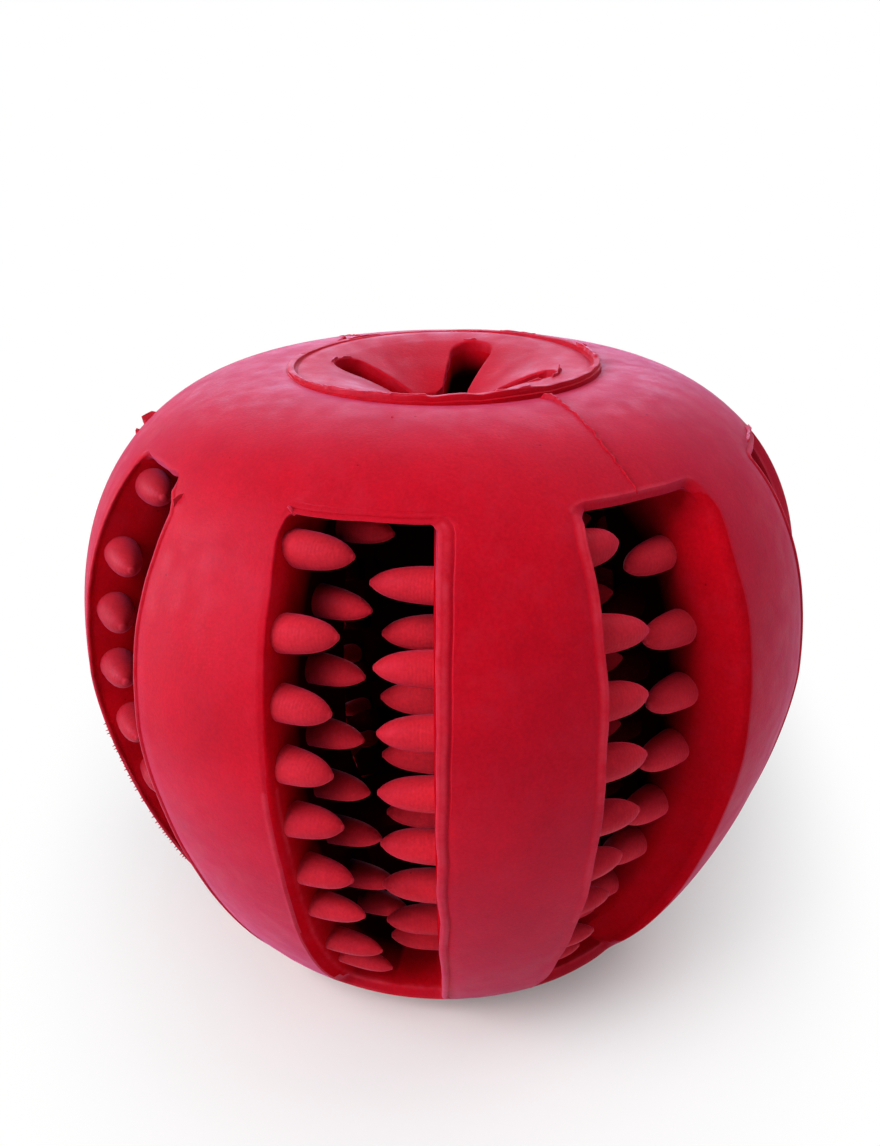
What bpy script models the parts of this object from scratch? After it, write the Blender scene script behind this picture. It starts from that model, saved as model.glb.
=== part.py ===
"""Apple-shaped rubber chew toy with toothed windows and a slotted treat funnel.

Metres, +Z up. The origin is at the middle of the foot, on the surface that the
toy stands on. Longitude 0 faces -Y and grows towards +X.
"""

import math

import bmesh
import bpy
import numpy as np
from mathutils import Matrix, Vector

MM = 0.001
SEAM = 0.3 * MM

# Outer skin: one superellipse above the equator and one below it
MAX_RADIUS = 35.0 * MM
EQUATOR = 33.7 * MM
CROWN_RISE = 25.4 * MM
RING_RADIUS = 14.7 * MM
FOOT_RADIUS = 15.0 * MM
UPPER_POWERS = (0.970, 0.814)
LOWER_POWERS = (1.138, 1.360)
CALYX_RADIUS = 10.0 * MM
CALYX_DEPTH = 2.0 * MM

# Cavity: an upright ellipsoid, cut off by a floor below and a boss above
CAVITY_RADIUS = 22.0 * MM
CAVITY_HALF_HEIGHT = 35.0 * MM
CAVITY_CENTRE = EQUATOR + 1.8 * MM
FLOOR_HEIGHT = 8.4 * MM
FLOOR_RISE = 1.2 * MM

# Windows between the bars, with walls that point at the axis
WINDOW_COUNT = 8
WINDOW_TOP = EQUATOR + 19.6 * MM
WINDOW_BOTTOM = EQUATOR - 30.1 * MM
WINDOW_HALF_ANGLE = math.radians(10.75)
WINDOW_CHAMFER = 1.0 * MM
WINDOW_SPACING = 2.0 * math.pi / WINDOW_COUNT
BAR_HALF_ANGLE = WINDOW_SPACING / 2.0 - WINDOW_HALF_ANGLE

# Teeth: bullets that stand square on the window walls
TOOTH_RADIUS = 1.65 * MM
TOOTH_LENGTH = 4.5 * MM
TOOTH_ROOT = 0.5 * MM
TOOTH_SIDES = 6
PITCH_TAPER = 0.018
# Side of the bar (+1 looks to growing longitude), depth under the skin,
# distance of the first tooth from the window's top, pitch, count
TOOTH_ROWS = (
    (+1, 2.4 * MM, 2.5 * MM, 6.5 * MM, 9),
    (+1, 7.3 * MM, -1.5 * MM, 7.5 * MM, 8),
    (-1, 5.5 * MM, 4.1 * MM, 7.3 * MM, 8),
    (-1, 10.5 * MM, 9.1 * MM, 8.7 * MM, 4),
)

# Funnel: a flange that sits in the crown, and a slotted dish inside it, steepest at its hole
RING_TOP = EQUATOR + CROWN_RISE
FLANGE_THICKNESS = 3.0 * MM
LIP_WIDTH = 0.9 * MM
LIP_HEIGHT = 0.4 * MM
DISH_RADIUS = 11.0 * MM
DISH_DEPTH = 3.1 * MM
DISH_POWER = 1.6
DISH_RINGS = 4
FUNNEL_THICKNESS = 3.0 * MM
HOLE_RADIUS = 3.3 * MM
LEDGE_RADIUS = 11.5 * MM
BOSS_DEPTH = 4.0 * MM
BOSS_WALL = 1.5 * MM
SLOT_COUNT = 4
SLOT_LONGITUDE = math.radians(-5.5)
SLOT_OUTER = (8.85 * MM, 2.05 * MM)
SLOT_INNER = (3.00 * MM, 1.15 * MM)
SLOT_SIDES = 12
FOLD_RADIUS = 7.7 * MM
FOLD_RELIEF = math.radians(33.0)

STEPS = 48
BAR_STEPS = 3
SKIN_POINTS = 7
BAR_POINTS = 11
RUBBER_RED = (0.42, 0.008, 0.024, 1.0)

for old in list(bpy.data.objects):
    bpy.data.objects.remove(old, do_unlink=True)


def new_collection(name):
    collection = bpy.data.collections.new(name)
    bpy.context.scene.collection.children.link(collection)
    return collection


PARTS = new_collection("apple_chew_toy")
CUTTERS = new_collection("cutters")


def rubber(name, shade):
    """Semi-matte red rubber; shade scales the colour a little from piece to piece."""
    material = bpy.data.materials.new(name)
    material.use_nodes = True
    shader = material.node_tree.nodes["Principled BSDF"]
    colour = [channel * shade for channel in RUBBER_RED[:3]]
    shader.inputs["Base Color"].default_value = (*colour, 1.0)
    shader.inputs["Roughness"].default_value = 0.5
    shader.inputs["Metallic"].default_value = 0.0
    return material


def skin_point(t):
    """Radius and height on the outer skin; t runs from the foot, -pi/2, to the ring, pi/2."""
    if t >= 0.0:
        edge, height, powers = RING_RADIUS, CROWN_RISE, UPPER_POWERS
    else:
        edge, height, powers = FOOT_RADIUS, -EQUATOR, LOWER_POWERS
    across = max(math.cos(t), 0.0) ** powers[0]
    up = abs(math.sin(t)) ** powers[1]
    return edge + (MAX_RADIUS - edge) * across, EQUATOR + height * up


SKIN = np.array([skin_point(t) for t in np.linspace(math.pi / 2, -math.pi / 2, 801)])
SKIN_ARC = np.concatenate(([0.0], np.cumsum(np.hypot(*np.diff(SKIN, axis=0).T))))


def arc_at(height):
    """Distance along the skin from the ring down to a height."""
    return float(np.interp(-height, -SKIN[:, 1], SKIN_ARC))


def skin_at(arc):
    return np.array([np.interp(arc, SKIN_ARC, SKIN[:, 0]), np.interp(arc, SKIN_ARC, SKIN[:, 1])])


def inward_at(arc):
    """Unit normal that points from the skin into the rubber."""
    step = 0.5 * MM
    along = skin_at(arc + step) - skin_at(arc - step)
    along /= np.hypot(*along)
    return np.array([along[1], -along[0]])


def skin_run(first_arc, last_arc, count):
    """Evenly spaced points along a stretch of the skin."""
    return [tuple(skin_at(arc)) for arc in np.linspace(first_arc, last_arc, count)]


def cavity_radius(height):
    share = (height - CAVITY_CENTRE) / CAVITY_HALF_HEIGHT
    return CAVITY_RADIUS * math.sqrt(max(0.0, 1.0 - share * share))


def dish_height(radius):
    """Top face of the funnel's dish."""
    share = (DISH_RADIUS - radius) / (DISH_RADIUS - HOLE_RADIUS)
    return RING_TOP - LIP_HEIGHT - DISH_DEPTH * share ** DISH_POWER


def profile_object(name, points, closed, collection=PARTS):
    """Edges along a profile in the XZ plane, turned about Z by a Screw modifier."""
    bm = bmesh.new()
    verts = [bm.verts.new((radius, 0.0, height)) for radius, height in points]
    for first, second in zip(verts, verts[1:]):
        bm.edges.new((first, second))
    if closed:
        bm.edges.new((verts[-1], verts[0]))
    mesh = bpy.data.meshes.new(name)
    bm.to_mesh(mesh)
    bm.free()
    obj = bpy.data.objects.new(name, mesh)
    collection.objects.link(obj)
    screw = obj.modifiers.new("turn", "SCREW")
    screw.steps = STEPS
    screw.render_steps = STEPS
    screw.use_merge_vertices = True
    screw.merge_threshold = 0.00001
    return obj


def mesh_object(name, bm, collection):
    mesh = bpy.data.meshes.new(name)
    bm.to_mesh(mesh)
    bm.free()
    obj = bpy.data.objects.new(name, mesh)
    collection.objects.link(obj)
    return obj


def hide_cutter(obj):
    obj.hide_render = True
    obj.display_type = "WIRE"
    return obj


def boolean(obj, cutter, operation):
    modifier = obj.modifiers.new(cutter.name, "BOOLEAN")
    modifier.object = cutter
    modifier.operation = operation
    modifier.solver = "EXACT"


def evaluated_mesh(obj):
    """The mesh as the modifiers leave it."""
    graph = bpy.context.evaluated_depsgraph_get()
    return bpy.data.meshes.new_from_object(obj.evaluated_get(graph))


def smooth(mesh, angle=math.radians(32.0)):
    mesh.shade_smooth()
    mesh.set_sharp_from_angle(angle=angle)


def wedge(bm, section, middle, half_angle, steps):
    """Spin a closed section about Z, half_angle to each side of a longitude; returns its two end faces."""
    turn = Matrix.Rotation(middle - half_angle, 4, "Z")
    verts = [bm.verts.new(turn @ Vector((0.0, -radius, height))) for radius, height in section]
    start = bm.faces.new(verts)
    spun = bmesh.ops.spin(
        bm, geom=[start, *start.edges, *verts], axis=(0, 0, 1), cent=(0, 0, 0),
        angle=2.0 * half_angle, steps=steps, use_duplicate=False)
    ends = [item for item in spun["geom_last"] if isinstance(item, bmesh.types.BMFace)]
    return start, ends[0]


def window_edge_cutter(name, edge_arc, away, inner_point):
    """Chamfer wedges along one level edge of every window; away is +1 down the skin, -1 up it."""
    edge = skin_at(edge_arc)
    along_skin = skin_at(edge_arc + away * WINDOW_CHAMFER) - edge
    into_wall = np.array(inner_point) - edge
    into_wall *= WINDOW_CHAMFER / np.hypot(*into_wall)
    section = [tuple(edge + along_skin), tuple(edge - along_skin - into_wall), tuple(edge + into_wall)]
    reach = WINDOW_HALF_ANGLE + WINDOW_CHAMFER / edge[0]
    bm = bmesh.new()
    for index in range(WINDOW_COUNT):
        wedge(bm, section, index * WINDOW_SPACING, reach, BAR_STEPS)
    bmesh.ops.recalc_face_normals(bm, faces=bm.faces)
    return hide_cutter(mesh_object(name, bm, CUTTERS))


def make_crown():
    """Dome between the funnel and the windows, with the seat for the funnel's flange."""
    bottom = WINDOW_TOP + SEAM / 2.0
    roof_edge = (cavity_radius(WINDOW_TOP), bottom)
    skin = skin_run(SEAM, arc_at(bottom), SKIN_POINTS)
    seat_radius = skin[0][0]
    seat = RING_TOP - FLANGE_THICKNESS - SEAM
    inside = [
        roof_edge,
        (LEDGE_RADIUS + BOSS_WALL, seat - BOSS_DEPTH),
        (LEDGE_RADIUS, seat - BOSS_DEPTH),
        (LEDGE_RADIUS, seat),
        (seat_radius, seat),
    ]
    crown = profile_object("crown", skin + inside, closed=True)
    boolean(crown, window_edge_cutter("lintel_cutter", arc_at(bottom), -1.0, roof_edge), "DIFFERENCE")
    crown.data.materials.append(rubber("crown_rubber", 1.0))


def make_base():
    """Closed bottom: flat foot, calyx dimple, sills of the windows and the cavity's floor."""
    sill_arc = arc_at(WINDOW_BOTTOM - SEAM / 2.0)
    floor = FLOOR_HEIGHT - SEAM / 2.0
    floor_radius = cavity_radius(FLOOR_HEIGHT)
    floor_points = [
        (floor_radius * share, floor + FLOOR_RISE * math.cos(share * math.pi / 2.0))
        for share in (0.0, 0.5, 1.0)]
    skin = skin_run(sill_arc, SKIN_ARC[-1], SKIN_POINTS)
    dimple = [
        (CALYX_RADIUS * math.cos(turn), CALYX_DEPTH * math.sin(turn))
        for turn in np.linspace(0.0, math.pi / 2.0, 4)]
    dimple[-1] = (0.0, CALYX_DEPTH)
    base = profile_object("base", floor_points + skin + dimple, closed=False)
    boolean(base, window_edge_cutter("sill_cutter", sill_arc, 1.0, (floor_radius, floor)), "DIFFERENCE")
    base.data.materials.append(rubber("base_rubber", 0.97))


def tooth_mesh():
    """One bullet along +X, its root sunk under the wall at x = 0."""
    profile = (
        (0.0, TOOTH_LENGTH), (0.58, TOOTH_LENGTH * 0.80), (0.94, TOOTH_LENGTH * 0.42),
        (1.0, -TOOTH_ROOT), (0.0, -TOOTH_ROOT))
    tooth = profile_object("tooth", [(r * TOOTH_RADIUS, z) for r, z in profile], False, CUTTERS)
    tooth.modifiers["turn"].steps = TOOTH_SIDES
    tooth.modifiers["turn"].render_steps = TOOTH_SIDES
    mesh = evaluated_mesh(tooth)
    mesh.transform(Matrix.Rotation(math.pi / 2.0, 4, "Y"))
    bpy.data.objects.remove(tooth, do_unlink=True)
    return mesh


def tooth_places():
    """Wall side, radius and height of every tooth on one bar."""
    window_arc = arc_at(WINDOW_TOP)
    places = []
    for side, depth, first, pitch, count in TOOTH_ROWS:
        for index in range(count):
            arc = window_arc + first + pitch * (index - PITCH_TAPER * index * (index - 1) / 2.0)
            radius, height = skin_at(arc) + depth * inward_at(arc)
            places.append((side, float(radius), float(height)))
    return places


def make_bar_mesh():
    """One bar at longitude 0: the wall between two windows, with the teeth of both its sides."""
    top = WINDOW_TOP - SEAM / 2.0
    outer = skin_run(arc_at(top), arc_at(WINDOW_BOTTOM + SEAM / 2.0), BAR_POINTS)
    heights = np.linspace(FLOOR_HEIGHT + SEAM / 2.0, top, BAR_POINTS // 2)
    inner = [(cavity_radius(height), height) for height in heights]
    bm = bmesh.new()
    weights = bm.edges.layers.float.new("bevel_weight_edge")
    ends = wedge(bm, outer + inner, 0.0, BAR_HALF_ANGLE, BAR_STEPS)
    skin_heights = {round(height, 7) for _, height in outer}
    for face in ends:
        for edge in face.edges:
            on_skin = all(
                round(vert.co.z, 7) in skin_heights and vert.co.xy.length > cavity_radius(vert.co.z) + SEAM
                for vert in edge.verts)
            if on_skin:
                edge[weights] = 1.0
    bmesh.ops.recalc_face_normals(bm, faces=bm.faces)
    bar = mesh_object("bar_form", bm, CUTTERS)
    bevel = bar.modifiers.new("window_edges", "BEVEL")
    bevel.limit_method = "WEIGHT"
    bevel.width = WINDOW_CHAMFER
    bevel.segments = 1

    tooth = tooth_mesh()
    bm = bmesh.new()
    for side, radius, height in tooth_places():
        before = len(bm.verts)
        bm.from_mesh(tooth)
        bm.verts.ensure_lookup_table()
        facing = Matrix.Rotation(0.0 if side > 0 else math.pi, 4, "Z")
        place = Matrix.Rotation(side * BAR_HALF_ANGLE, 4, "Z") @ Matrix.Translation((0.0, -radius, height))
        bmesh.ops.transform(bm, matrix=place @ facing, verts=bm.verts[before:])
    teeth = hide_cutter(mesh_object("teeth", bm, CUTTERS))
    boolean(bar, teeth, "UNION")
    mesh = evaluated_mesh(bar)
    bpy.data.objects.remove(bar, do_unlink=True)
    smooth(mesh)
    return mesh


def make_bars():
    mesh = make_bar_mesh()
    mesh.materials.append(rubber("bar_rubber", 1.0))
    for index in range(WINDOW_COUNT):
        bar = bpy.data.objects.new(f"bar_{index + 1}", mesh)
        bar.rotation_euler.z = (index + 0.5) * WINDOW_SPACING
        PARTS.objects.link(bar)


def funnel_points():
    """Closed section of the whole funnel, before it is slotted."""
    lip_inner = RING_RADIUS - LIP_WIDTH
    land = RING_TOP - LIP_HEIGHT
    underside = RING_TOP - FLANGE_THICKNESS
    dish = [(radius, dish_height(radius)) for radius in np.linspace(HOLE_RADIUS, DISH_RADIUS, DISH_RINGS)]
    return dish + [
        (lip_inner - LIP_HEIGHT, land),
        (lip_inner, RING_TOP),
        (RING_RADIUS, RING_TOP),
        (RING_RADIUS, underside),
        (LEDGE_RADIUS - SEAM, underside),
        (DISH_RADIUS, land - FUNNEL_THICKNESS),
        (HOLE_RADIUS, dish_height(HOLE_RADIUS) - FUNNEL_THICKNESS),
    ]


def slot_cutter():
    """Four tapered slots with round outer ends, from the hole out to the corners of the fold square."""
    low = dish_height(HOLE_RADIUS) - 2.0 * FUNNEL_THICKNESS
    high = RING_TOP + FUNNEL_THICKNESS
    bm = bmesh.new()
    for index in range(SLOT_COUNT):
        turn = Matrix.Rotation(SLOT_LONGITUDE + index * 2.0 * math.pi / SLOT_COUNT, 4, "Z")
        corners = []
        for centre, radius in (SLOT_OUTER, SLOT_INNER):
            for step in range(SLOT_SIDES):
                angle = 2.0 * math.pi * step / SLOT_SIDES
                x, y = radius * math.sin(angle), -centre - radius * math.cos(angle)
                corners += [bm.verts.new(turn @ Vector((x, y, z))) for z in (low, high)]
        hull = bmesh.ops.convex_hull(bm, input=corners)
        bmesh.ops.delete(bm, geom=hull["geom_interior"], context="VERTS")
    bmesh.ops.recalc_face_normals(bm, faces=bm.faces)
    return hide_cutter(mesh_object("slot_cutter", bm, CUTTERS))


def prism(name, half_width, turn, low, high):
    """Square block about the axis, its faces half_width away from it."""
    bm = bmesh.new()
    bmesh.ops.create_cube(bm, size=1.0)
    size = Matrix.Diagonal((2.0 * half_width, 2.0 * half_width, high - low, 1.0))
    place = Matrix.Translation((0.0, 0.0, (low + high) / 2.0))
    bmesh.ops.transform(bm, matrix=Matrix.Rotation(turn, 4, "Z") @ place @ size, verts=bm.verts)
    return hide_cutter(mesh_object(name, bm, CUTTERS))


def make_funnel_ring(slots):
    """Flange, lip and the outer part of the dish, open inside the square of fold lines."""
    ring = profile_object("funnel_ring", funnel_points(), closed=True)
    fold_turn = SLOT_LONGITUDE + math.pi / SLOT_COUNT
    low = dish_height(HOLE_RADIUS) - 2.0 * FUNNEL_THICKNESS
    opening = prism("fold_opening", FOLD_RADIUS + SEAM / 2.0, fold_turn, low, RING_TOP + FUNNEL_THICKNESS)
    boolean(ring, opening, "DIFFERENCE")
    boolean(ring, slots, "DIFFERENCE")
    ring.data.materials.append(rubber("funnel_rubber", 1.04))


def petal_block(longitude):
    """Keeps one petal: inside its quarter and its fold line, with a relief below the fold."""
    high = RING_TOP + FUNNEL_THICKNESS
    low = dish_height(HOLE_RADIUS) - 2.0 * FUNNEL_THICKNESS
    fold = FOLD_RADIUS - SEAM / 2.0
    axis = dish_height(FOLD_RADIUS)
    relieved = fold - (axis - low) * math.tan(FOLD_RELIEF)
    bm = bmesh.new()
    corners = [bm.verts.new((0.0, 0.0, height)) for height in (low, high)]
    for reach, height in ((fold, high), (fold, axis), (relieved, low)):
        corners += [bm.verts.new((across * reach, -reach, height)) for across in (-1.0, 1.0)]
    bmesh.ops.convex_hull(bm, input=corners)
    bmesh.ops.rotate(bm, cent=(0, 0, 0), matrix=Matrix.Rotation(longitude, 3, "Z"), verts=bm.verts)
    bmesh.ops.recalc_face_normals(bm, faces=bm.faces)
    return hide_cutter(mesh_object("petal_block", bm, CUTTERS))


def make_petals(slots):
    """Four flaps of the dish; each has its origin on its fold line."""
    dish = profile_object("dish_form", funnel_points(), closed=True, collection=CUTTERS)
    material = rubber("petal_rubber", 1.04)
    for index in range(SLOT_COUNT):
        longitude = SLOT_LONGITUDE + (index + 0.5) * 2.0 * math.pi / SLOT_COUNT
        form = dish.copy()
        CUTTERS.objects.link(form)
        boolean(form, petal_block(longitude), "INTERSECT")
        boolean(form, slots, "DIFFERENCE")
        bpy.context.view_layer.update()
        mesh = evaluated_mesh(form)
        bpy.data.objects.remove(form, do_unlink=True)
        fold = Matrix.Rotation(longitude, 4, "Z") @ Vector((0.0, -FOLD_RADIUS, dish_height(FOLD_RADIUS)))
        mesh.transform(Matrix.Translation(-fold))
        mesh.materials.append(material)
        smooth(mesh)
        petal = bpy.data.objects.new(f"funnel_petal_{index + 1}", mesh)
        petal.location = fold
        PARTS.objects.link(petal)
    bpy.data.objects.remove(dish, do_unlink=True)


make_crown()
make_base()
make_bars()
SLOTS = slot_cutter()
make_funnel_ring(SLOTS)
make_petals(SLOTS)
for turned in ("crown", "base", "funnel_ring"):
    smooth(bpy.data.objects[turned].data)
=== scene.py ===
"""Apple-shaped rubber chew toy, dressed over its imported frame, in a plain studio.

Shapes are worked out in millimetres and turned into metres when a mesh is made.
Longitude 0 faces -Y and grows towards +X; arcs run down the skin from the funnel's ring.
"""

import math

import bmesh
import bpy
import numpy as np
from mathutils import Matrix, Vector
from mathutils.kdtree import KDTree


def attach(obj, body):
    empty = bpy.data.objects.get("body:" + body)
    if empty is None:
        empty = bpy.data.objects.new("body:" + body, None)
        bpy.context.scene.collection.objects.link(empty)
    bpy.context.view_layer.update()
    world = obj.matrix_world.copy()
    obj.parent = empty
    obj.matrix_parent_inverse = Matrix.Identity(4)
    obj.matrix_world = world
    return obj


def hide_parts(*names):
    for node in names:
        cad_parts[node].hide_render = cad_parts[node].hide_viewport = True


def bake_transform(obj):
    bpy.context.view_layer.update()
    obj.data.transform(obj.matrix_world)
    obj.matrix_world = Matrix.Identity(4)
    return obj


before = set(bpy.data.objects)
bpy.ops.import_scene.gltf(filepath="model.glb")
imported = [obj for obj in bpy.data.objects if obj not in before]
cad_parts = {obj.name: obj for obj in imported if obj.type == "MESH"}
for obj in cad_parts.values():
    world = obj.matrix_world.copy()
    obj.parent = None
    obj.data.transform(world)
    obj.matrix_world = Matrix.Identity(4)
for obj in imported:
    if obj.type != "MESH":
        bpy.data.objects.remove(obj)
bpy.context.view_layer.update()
SCENE = bpy.context.scene

MM = 0.001
SEED = 20261125

# Outer skin
MAX_RADIUS = 35.0
EQUATOR = 33.7
CROWN_RISE = 25.4
RING_RADIUS = 14.7
FOOT_RADIUS = 15.0
UPPER_POWERS = (0.97, 0.814)
LOWER_POWERS = (1.138, 1.36)
FLANK_STEPS = 4001
CALYX_RADIUS = 10.0
CALYX_DEPTH = 2.0
CALYX_POWER = 1.6

# Cavity
CAVITY_RADIUS = 22.0
CAVITY_HALF_HEIGHT = 35.0
CAVITY_CENTRE = 35.5
FLOOR_HEIGHT = 8.4
FLOOR_RISE = 1.2

# Windows
WINDOW_COUNT = 8
WINDOW_TOP = 53.3
WINDOW_BOTTOM = 3.6
WINDOW_SPACING = math.tau / WINDOW_COUNT
WINDOW_HALF_ANGLE = math.radians(10.75)
BAR_HALF_ANGLE = WINDOW_SPACING / 2.0 - WINDOW_HALF_ANGLE
CORNER_RADIUS = 0.7
COLLAR = 3.2
# Window edges, as distance outside the hole and depth under the skin: chamfer, thin lip of flash, strip
# beside a groove, rounding, flush edge with two ridges, bare edge, shallow bevel and lifted lip
EDGE_DEPTH = 1.06
CHAMFER_WIDTH = 0.985
ROUND_WIDTH = 1.5
CHAMFER_RUN = np.array(
    (0.0, 0.04, 0.1, 0.2, 0.34, 0.42, 0.5, 0.6, 0.67, 0.74, 0.86, 0.985, 1.0, 1.1, 1.45, 2.2))
ROUND_TURN = np.linspace(0.0, math.pi / 2.0, len(CHAMFER_RUN))
ROOT = (0, EDGE_DEPTH)
UPRIGHT = (ROOT, (0, 0.7), (0, 0.4))
EDGE_SECTIONS = np.array((
    np.c_[CHAMFER_RUN, EDGE_DEPTH * np.maximum(0.0, 1.0 - CHAMFER_RUN / CHAMFER_WIDTH)],
    (ROOT, (0, 0.82), (0, 0.6), (-0.01, 0.44), (-0.06, 0.32), (-0.13, 0.22), (-0.17, 0.13),
     (-0.18, 0.04), (-0.14, -0.05), (-0.05, -0.11), (0.07, -0.12), (0.17, -0.05), (0.24, 0.08),
     (0.36, 0.09), (0.6, 0), (1.6, 0)),
    (ROOT, (0, 0.8), (0, 0.55), (0.01, 0.36), (0.03, 0.22), (0.08, 0.11), (0.16, 0.04), (0.28, 0),
     (0.5, -0.04), (0.8, -0.05), (1.05, -0.02), (1.22, 0.02), (1.32, 0.1), (1.42, 0.12), (1.54, 0.02),
     (2.2, 0)),
    np.c_[ROUND_WIDTH * (1.0 - np.cos(ROUND_TURN)), EDGE_DEPTH * (1.0 - np.sin(ROUND_TURN))],
    (*UPRIGHT, (0, 0.2), (0.01, 0.08), (0.06, 0), (0.14, -0.03), (0.25, 0), (0.36, 0.1),
     (0.46, 0.11), (0.57, 0.02), (0.68, -0.03), (0.82, -0.01), (0.93, 0.06), (1.02, 0.06), (1.14, 0)),
    (*UPRIGHT, (0, 0.2), (0, 0.1), (0.01, 0.04), (0.04, 0.01), (0.09, 0), (0.15, 0), (0.25, 0),
     (0.4, 0), (0.6, 0), (0.8, 0), (1.0, 0), (1.4, 0), (2.0, 0)),
    (ROOT, (0, 1.01), (0, 0.96), (0.01, 0.91), (0.04, 0.87), (0.1, 0.825), (0.24, 0.72), (0.4, 0.6),
     (0.56, 0.48), (0.72, 0.36), (0.88, 0.24), (1.02, 0.135), (1.2, 0), (1.24, 0), (1.6, 0),
     (2.2, 0)),
    (*UPRIGHT, (0, 0.1), (0, -0.05), (0.02, -0.12), (0.06, -0.15), (0.12, -0.155), (0.3, -0.125),
     (0.5, -0.08), (0.7, -0.03), (0.85, 0.02), (0.92, 0.04), (1.0, 0.03), (1.1, 0), (2.0, 0)),
))
CHAMFER, LIP, STRIP, ROUND, RIDGED, BARE, BEVEL, LIFTED = np.eye(len(EDGE_SECTIONS))
# The two points of each section painted pale, as wear and as painted highlight, and the sections left
# plain
EDGE_CRESTS = np.array(((1, 11), (8, 10), (7, 9), (0, 0), (6, 11), (5, 6), (12, 13), (7, 9)))
NO_PALE_CRESTS = ROUND + BARE + RIDGED
# How far the upright edges stand outside the plain ones, at arcs below the lintel; per window: left edge
# with its sections at the top and at the foot, right edge likewise, and the lintel's section
EDGE_ARCS = (0.0, 2.0, 6.0, 12.0, 20.0, 28.0, 36.0, 46.0)
PLAIN_EDGE = (0.0,) * len(EDGE_ARCS)
WINDOW_EDGES = {
    0: ((0.75, 1.07, 0.6, 0.4, 0.05, 0.0, 0.32, 0.95), BARE, CHAMFER,
        (*(0.28,) * 5, 0.3, 0.36, 0.42), STRIP, 0.3 * STRIP + 0.7 * LIP, RIDGED),
    1: ((0.15, 0.4, 0.34, 0.43, 0.55, 0.36, 0.14, 0.1), LIFTED, 0.6 * BARE + 0.4 * LIFTED,
        (0.6, 1.35, 0.8, 1.25, 1.15, 1.6, 1.7, 1.7), ROUND, ROUND, BEVEL),
    2: ((-0.8,) * len(EDGE_ARCS), LIP, LIP, PLAIN_EDGE, CHAMFER, CHAMFER, LIP),
    5: ((-0.3, -0.5, -0.8, -1.2, -1.5, -1.9, -2.5, -2.7), LIP, LIP, PLAIN_EDGE, CHAMFER, LIP, CHAMFER),
    7: (PLAIN_EDGE, LIP, LIP, (-2.2, -0.4, -0.25, -0.57, *(-0.8,) * 4), LIP, LIP, CHAMFER),
}
# Spread of the edges not listed, waves and tears along all edges, and how far out an edge is shifted
EDGE_JITTER, EDGE_WAVES, EDGE_TEAR, EDGE_HOLD = 0.2, 0.06, 0.04, 1.1
WALL_SHARES = (0.07, 0.14, 0.21, 0.28, 0.46, 0.64, 0.82, 1.0)
SHIFT_DEPTH = 0.28
TOP_STEPS, CORNER_STEPS, SIDE_STEPS, BAR_STEPS = 7, 8, 64, 14
# Longitudes of the narrowed wall at the back
BLIND_WALL = (206.0, 224.0)
# Depth added where shade is painted, and from which depth: left walls of the windows, one of them less,
# a rounded edge, and what shows only from inside; the material paints them darker as if they lay deeper
LEFT_SINK, LEFT_FROM = 3.0, 0.12
PALE_WINDOW, PALE_SINK = 7, 1.0
ROUND_WINDOW, ROUND_SINK, ROUND_FROM = 1, 0.9, 0.03
INSIDE_SINK, BLIND_FROM = 8.0, 0.25
# Depths from which shell and funnel take a shaded copy of the rubber, without sheen or gloss
SHELL_SHADE_FROM, FUNNEL_SHADE_FROM = 0.9, 0.3

# Tooth rows: side of the bar, depth under the skin, length, radius at the top and at the bottom of
# the window, and arcs below the lintel
TOOTH_ROWS = (
    (+1, 2.4, 4.5, 1.6, 1.05, (2.1, 9.6, 15.7, 21.3, 27.6, 33.8, 39.4, 46.2, 50.6)),
    (+1, 7.3, 4.7, 1.35, 1.25, (-4.8, 6.1, 13.8, 20.6, 28.0, 34.6, 42.2, 48.6)),
    (-1, 5.5, 4.7, 1.58, 1.5, (3.8, 12.2, 18.8, 25.9, 32.8, 39.0, 46.2, 51.6)),
    (-1, 10.5, 4.5, 1.5, 1.5, (9.2, 17.8, 26.4, 34.8)),
)
TAPER_START = 0.33  # share of the window's arc
# Spread from tooth to tooth: place along the row, length, thickness and lean
PLACE_SPREAD, LENGTH_SPREAD, BULK_SPREAD, LEAN_SPREAD = 0.08, 0.02, 0.015, 0.035
# Painted light of each tooth row: brighter rows stand in for the light that reaches them
ROW_PAINTED_LIGHT = (1.05, 1.25, 1.15, 1.6)
# Painted shade of rows that lie in shadow, by bar and row; the darkest are dull as well
SHADED_ROWS = {(0, 1): 0.3, (1, 3): 0.06, (3, 3): 0.1, (4, 1): 0.3, (6, 0): 0.8}
DULL_BELOW = 0.5
# Rows that sit higher than the rest
ROW_SHIFTS = {(6, 0): -0.55}
# Lengths of odd teeth, by bar, row and tooth
ODD_TEETH = {(0, 0, 0): 3.5, (0, 2, 0): 5.2}
# Shares of a tooth's length and radius
TOOTH_SECTION = (
    (-0.27, 1.0), (0.0, 1.0), (0.15, 0.985), (0.3, 0.95), (0.43, 0.905), (0.56, 0.835), (0.68, 0.735),
    (0.78, 0.615), (0.86, 0.48), (0.915, 0.355), (0.945, 0.27), (0.962, 0.215), (0.982, 0.185),
    (0.995, 0.12))
TOOTH_SIDES = 22
RING_MARK_PITCH = 0.3
# Deep teeth get painted shade at the root, but not on the bars' left sides
ROOT_SHADE = 3.0

# Funnel
RING_TOP = 59.1
LIP_WIDTH = 0.75
LIP_FRONT, LIP_RIGHT, LIP_BACK = 0.93, 0.25, 0.02
LIP_RUN = 1.6
LIP_GROOVE = 0.07
LIP_TEAR = 0.13
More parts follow.
